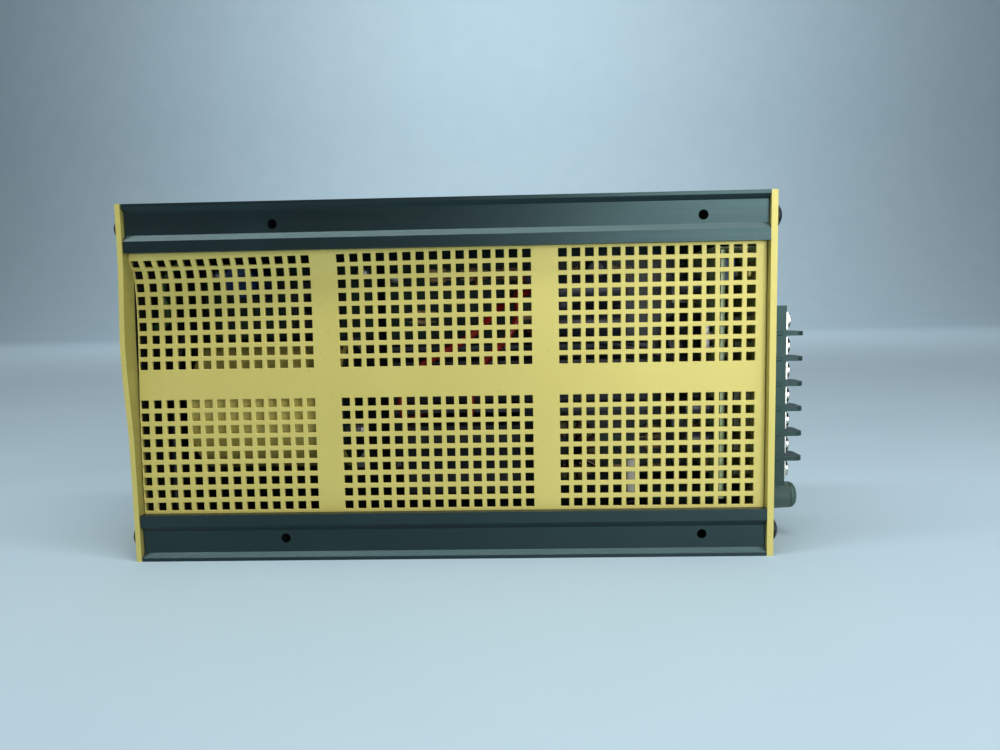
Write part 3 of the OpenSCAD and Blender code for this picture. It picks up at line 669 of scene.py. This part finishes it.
green_board = laminate("green_masked_laminate", "#12271A", "#17301F", "#1F3D27")
pale_board = laminate("bare_laminate", "#C4DDA8", "#D2E8BA", "#B4CC92")
dress(green_board, lift("main_board", "main_circuit_board", 0.06, 1),
      lift("filter_board", "filter_circuit_board", 0.06, 1))
dress(pale_board, lift("control_board", "control_circuit_board", 0.06, 1))
dress(zinc, lift("board_standoffs", "hex_standoffs", 0.15), lift("board_screws", "board_pan_screws", 0.1),
      lift("control_board_brackets", "control_board_angles", 0.15))
fish_paper = plastic("calendered_fish_paper", "#BDC592", "#D2D8AC", 0.6, 0.75, 0.9)
dress(fish_paper, lift("insulating_sheet", "insulating_fish_paper", 0.06, 1))


# ---------------------------------------------------------------- Small parts on the boards
# Carbon-film resistors, ceramic discs and small electrolytics, machine-inserted in rows and wave
# soldered. They ride on the case as plain detail that the cast model leaves out.
def copies(piece, name, places):
    """Copies a small part to places, each copy with its own mesh, and joins them."""
    made = []
    for index, spot in enumerate(places):
        twin = bpy.data.objects.new(f"{name}_{index}", piece.data.copy())
        scene.collection.objects.link(twin)
        twin.data.transform(Matrix.Translation(Vector(spot)))
        made.append(twin)
    bpy.data.objects.remove(piece)
    return gather(name, made)


main_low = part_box("main_board")[0]


def on_main_board(above, spots):
    """Places on the main board, from its left and its foot, at a height above its face, in mm."""
    return [(main_low[0] + x * MM, main_low[1] - above * MM, main_low[2] + z * MM) for x, z in spots]


film = plastic("tan_resistor_lacquer", "#A98A5E", "#C2A577", 0.25, 0.4, 0.5)
body_outline = [(-3.3, 0.9), (-2.9, 1.25), (-1.7, 1.25), (-1.4, 1.05),
                (1.4, 1.05), (1.7, 1.25), (2.9, 1.25), (3.3, 0.9)]
resistor_outline = [(-5.6, 0.35), (-3.4, 0.35)] + body_outline + [(3.4, 0.35), (5.6, 0.35)]
resistor = turned("resistor", resistor_outline, 12, (0, 0, 0))
rows = [(8 + 15 * c, z) for z in (3.5, 83.5, 87) for c in range(8) if not (z > 80 and c in (0, 7))]
rows += [(112, 12), (112, 16), (112, 20), (60, 63), (60, 67), (48, 63), (16, 66), (16, 70), (30, 74)]
resistors = copies(resistor, "main_board_resistors", on_main_board(1.35, rows))
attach(resistors, "case")
dress(film, resistors)

disc_outline = [(-1.5, 0.6), (-1.4, 2.2), (-0.9, 3.0), (0, 3.3), (0.9, 3.0), (1.4, 2.2), (1.5, 0.6)]
disc = turned("disc", disc_outline, 20, (0, 0, 0))
ceramic_orange = plastic("dipped_ceramic_coat", "#A5612B", "#BD7A3B", 0.35, 0.5, 0.6)
disc_spots = ((6, 40), (6, 48), (118, 30), (118, 40), (75, 65), (82, 65), (40, 82), (100, 78))
discs = copies(disc, "ceramic_disc_capacitors", on_main_board(3.3, disc_spots))
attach(discs, "case")
dress(ceramic_orange, discs)

sleeve_blue = plastic("blue_shrink_sleeve", "#0D2148", "#14305F", 0.2, 0.32, 2.0)
sleeve_dark = plastic("charcoal_shrink_sleeve", "#2A2E36", "#3B414B", 0.22, 0.36, 2.0)
small_can_outline = [(0, 3.9), (0.4, 4.0), (1.4, 4.0), (1.8, 3.6), (2.4, 3.6), (2.8, 4.0),
                     (10.6, 4.0), (11.0, 3.8), (11.2, 3.2), (11.0, 3.0)]
small_can = turned("small_can", small_can_outline, 24, (0, 0, 0), "-Y")
small_can_spots = ((66, 9), (66, 20), (75, 74), (88, 86), (62, 84), (120, 56))
small_cans = copies(small_can, "small_electrolytics", on_main_board(0, small_can_spots))
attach(small_cans, "case")
dress(sleeve_dark, small_cans)

# Solder: bright tin-lead domes where the leads of the upright board come through.
solder = plated("bright_solder", "#B9BBB8", "#ECEDEA", 0.12, 0.3, 0.6)
dome = turned("dome", [(0, 0.95), (0.25, 0.8), (0.6, 0.5), (1.1, 0.32), (1.3, 0.28)], 10, (0, 0, 0))
control_low, control_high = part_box("control_board")
_, trimmer_y, trimmer_z = middle_of("voltage_trimmer_body")
trimmer_room = 7 * MM
random.seed(4)
solder_spots = []
for row in range(15):
    for column in range(6):
        spot_y = control_low[1] + (3.2 + column * 6.3 + random.uniform(-0.9, 0.9)) * MM
        spot_z = control_low[2] + (12 + row * 5.2 + random.uniform(-1.0, 1.0)) * MM
        if abs(spot_z - trimmer_z) >= trimmer_room or abs(spot_y - trimmer_y) >= trimmer_room:
            solder_spots.append((control_high[0], spot_y, spot_z))
domes = copies(dome, "control_board_solder_domes", solder_spots)
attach(domes, "case")
dress(solder, domes)

upright = turned("upright_resistor", body_outline, 12, (0, 0, 0), "Z")
upright_spots = ((-2, 40), (2, 40), (6, 40), (10, 60), (12.5, 60), (8, 95), (11, 95), (-12, 30))
uprights = copies(upright, "control_board_resistors",
                  [(control_low[0] - 1.3 * MM, y * MM, z * MM) for y, z in upright_spots])
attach(uprights, "case")
dress(film, uprights)


# ---------------------------------------------------------------- Chips and trimmer
# Two dual in-line chips in black epoxy, four small electrolytics, and the cermet trimmer that sets
# the output, its white slotted rotor in line with the hole in the end plate.
epoxy = plastic("moulded_black_epoxy", "#1A1B1C", "#262729", 0.45, 0.62, 0.25)
chips = lift("control_chips", "control_chip_cases", 0.12, 1)
dress(epoxy, chips)
chip_middles, leg_reach, leg_half = (4 * MM, -12 * MM), 3.6 * MM, 0.45 * MM
dress_where(chips, tin, lambda p: any(abs(abs(p.y - mid) - leg_reach) < leg_half for mid in chip_middles))
can_shape = ((-11, 1), (-10.8, 0.8), (-10.9, 0.3), (-10.6, 0), (-2.8, 0), (-2.4, 0.4), (-1.8, 0.4),
             (-1.4, 0), (0, 0))
control_cans = []
for y, z, radius in ((-14, 40, 4), (-14, 52, 4), (6, 82, 5), (-6, 98, 3.2)):
    can_outline = [(place, radius - inset) for place, inset in can_shape]
    control_cans.append(turned("can", can_outline, 28, (control_low[0], y * MM, z * MM)))
control_cans = gather("control_board_electrolytics", control_cans)
join_frame(control_cans, "control_capacitors")
dress(sleeve_dark, control_cans)
dress(plastic("blue_moulded_nylon", "#1C4A92", "#2B62B0", 0.3, 0.45, 0.5),
      lift("voltage_trimmer_body", "trimmer_case", 0.3))
dress(plastic("white_moulded_nylon", "#D8D4C6", "#E8E5DA", 0.3, 0.45, 0.5),
      lift("voltage_trimmer_rotor", "trimmer_slotted_rotor", 0.1))


# ---------------------------------------------------------------- Line filter
# A tall blue capacitor and a potted ring choke stand on the filter board.
low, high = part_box("line_capacitor")
mid = middle_of("line_capacitor")
tall = (high[1] - low[1]) / MM
tall_outline = [(0, 6.2), (0.4, 6.5), (1.6, 6.5), (2.1, 6.0), (2.9, 6.0), (3.4, 6.5),
                (tall - 0.6, 6.5), (tall - 0.1, 6.1), (tall, 5.4), (tall - 0.2, 5.1)]
line_capacitor = turned("line_filter_capacitor", tall_outline, 40, (mid[0], high[1], mid[2]), "-Y")
join_frame(line_capacitor, "line_capacitor")
dress(sleeve_blue, line_capacitor)
dress(epoxy, lift("line_choke", "potted_ring_choke", 1.2, 3))


# ---------------------------------------------------------------- Transformer
# Two grey ferrite halves round a taped winding, held down by a bent steel strap.
# Sintered ferrite: dead grey-black with a fine open grain.
ferrite, place = begin("sintered_ferrite")
grain = add(ferrite, "TexNoise", {"Scale": grit(0.4), "Detail": 6.0, "Roughness": 0.7}, {"Vector": place})
tone = add(ferrite, "MixRGB", {"Color1": linear("#181A1B"), "Color2": linear("#2C3031")},
           {"Fac": grain.outputs["Fac"]})
pits = add(ferrite, "Bump", {"Strength": 0.5, "Distance": 0.06 * MM}, {"Height": grain.outputs["Fac"]})
complete(ferrite, {"Roughness": 0.62},
         {"Base Color": tone.outputs["Color"], "Normal": pits.outputs["Normal"]})
dress(ferrite, lift("transformer_core", "ferrite_core_halves", 0.4))

# Polyester tape: glossy amber layers whose edges step every 3 mm or so.
tape, place = begin("amber_polyester_tape")
layer_place = add(tape, "Mapping", {"Scale": (0.1, 1.0, 0.1)}, {"Vector": place})
layers = add(tape, "TexNoise", {"Scale": grit(3), "Detail": 4.0},
             {"Vector": layer_place.outputs["Vector"]})
tone = add(tape, "MixRGB", {"Color1": linear("#B98A26"), "Color2": linear("#D9B04C")},
           {"Fac": layers.outputs["Fac"]})
steps = add(tape, "Bump", {"Strength": 0.5, "Distance": 0.1 * MM}, {"Height": layers.outputs["Fac"]})
complete(tape, {"Roughness": 0.25},
         {"Base Color": tone.outputs["Color"], "Normal": steps.outputs["Normal"]})
dress(tape, lift("transformer_winding", "taped_winding", 1.0, 3))
dress(oxide, lift("transformer_strap", "transformer_hold_down", 0.2))


# ---------------------------------------------------------------- Heat sink and rectifiers
# A finned aluminium extrusion, left bare, stands on the main board. Three rectifiers are screwed to
# its back, their tinned legs pointing down.
# Mill-finish aluminium: die lines along the extrusion, the bare metal's pale grey darkened to a dim grey as
# painted shade inside the case.
mill, place = begin("mill_finish_aluminium_painted_shade")
line_place = add(mill, "Mapping", {"Scale": (0.02, 1.0, 1.0)}, {"Vector": place})
lines = add(mill, "TexNoise", {"Scale": grit(0.7), "Detail": 5.0}, {"Vector": line_place.outputs["Vector"]})
tone = add(mill, "MixRGB", {"Color1": linear("#43474A"), "Color2": linear("#5E6365")},
           {"Fac": lines.outputs["Fac"]})
gloss = add(mill, "MapRange", {"To Min": 0.45, "To Max": 0.6}, {"Value": lines.outputs["Fac"]})
drawn = add(mill, "Bump", {"Strength": 0.3, "Distance": 0.03 * MM}, {"Height": lines.outputs["Fac"]})
complete(mill, {"Metallic": 1.0},
         {"Base Color": tone.outputs["Color"], "Roughness": gloss.outputs["Result"],
          "Normal": drawn.outputs["Normal"]})
dress(mill, lift("heat_sink", "finned_heat_sink", 0.3))
packages = lift("rectifiers", "screwed_rectifiers", 0.2)
leg_top = 57.9 * MM
dress(epoxy, packages)
dress_where(packages, tin, lambda p: p.z < leg_top)
dress(zinc, lift("rectifier_screws", "rectifier_pan_screws", 0.1))


# ---------------------------------------------------------------- Output filter
# Two electrolytics lie side by side, next to a ring choke of painted iron powder wound with thick
# enamelled wire, and a cement-filled ceramic resistor.
low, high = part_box("output_capacitors")
filter_can_radius = 6.8 * MM
filter_can_outline = [(0, 6.4), (0.3, 6.75), (2.4, 6.75), (3.0, 6.2), (3.8, 6.2), (4.4, 6.75),
                      (33.2, 6.75), (33.8, 6.4), (34.0, 5.6), (33.8, 5.3), (33.8, 0.9), (33.6, 0.7)]
filter_cans = []
for z in (low[2] + filter_can_radius, high[2] - filter_can_radius):
    filter_cans.append(turned("can", filter_can_outline, 36, (low[0], (low[1] + high[1]) / 2, z)))
filter_cans = gather("output_electrolytics", filter_cans)
join_frame(filter_cans, "output_capacitors")
dress(sleeve_dark, filter_cans)
dress(plastic("painted_iron_powder", "#4B4E22", "#63672F", 0.5, 0.7, 0.5),
      lift("output_choke_core", "iron_powder_ring", 1.0, 3))

# Enamelled copper: varnished dark orange metal, darkened further to deep brown as painted shade inside the
# case.
enamel, place = begin("enamelled_copper_wire_painted_shade")
shade = add(enamel, "TexNoise", {"Scale": grit(2), "Detail": 3.0}, {"Vector": place})
tone = add(enamel, "MixRGB", {"Color1": linear("#3E1C10"), "Color2": linear("#5E301C")},
           {"Fac": shade.outputs["Fac"]})
complete(enamel, {"Metallic": 0.7, "Roughness": 0.28, "Coat Weight": 0.6, "Coat Roughness": 0.1},
         {"Base Color": tone.outputs["Color"]})
dress(enamel, lift("output_choke_winding", "copper_turns", 0.55, 3))

# Fired ceramic: chalky off-white, a little pitted.
ceramic = plastic("fired_ceramic", "#D3D0C4", "#EAE8DF", 0.55, 0.75, 0.35)
sand_resistor = lift("ceramic_resistor", "ceramic_power_resistor", 0.4)
legs_start = -14.9 * MM
dress(ceramic, sand_resistor)
dress_where(sand_resistor, tin, lambda p: p.y > legs_start)


# ---------------------------------------------------------------- Leads
# PVC-insulated stranded wire between the boards, the fuse and the terminals, each soldered at both
# ends and held by its own stiffness.
def wire(node, name):
    """Smooths the faceted tubes of a cast lead."""
    piece = lift(node, name, 0)
    take(piece)
    bpy.ops.object.mode_set(mode="EDIT")
    bpy.ops.mesh.select_all(action="SELECT")
    bpy.ops.mesh.tris_convert_to_quads()
    bpy.ops.object.mode_set(mode="OBJECT")
    smooth = piece.modifiers.new("rounded_insulation", "SUBSURF")
    smooth.levels = smooth.render_levels = 1
    bpy.ops.object.modifier_apply(modifier="rounded_insulation")
    bpy.ops.object.shade_smooth()
    return piece


black_pvc = plastic("black_pvc_insulation", "#1A1C1E", "#292C2F", 0.3, 0.42, 0.8)
output_wires = wire("output_leads", "red_output_leads")
dress(plastic("red_pvc_insulation", "#8E1712", "#AC241D", 0.3, 0.42, 0.8), output_wires)
sense_lead_starts = 26 * MM
dress_where(output_wires, black_pvc, lambda p: p.x > sense_lead_starts)
dress(black_pvc, wire("line_leads", "black_line_leads"))
# The green is darkened as painted shade inside the case.
dress(plastic("green_pvc_insulation_painted_shade", "#2C4524", "#3B5A30", 0.3, 0.42, 0.8),
      wire("ground_lead", "green_ground_lead"))
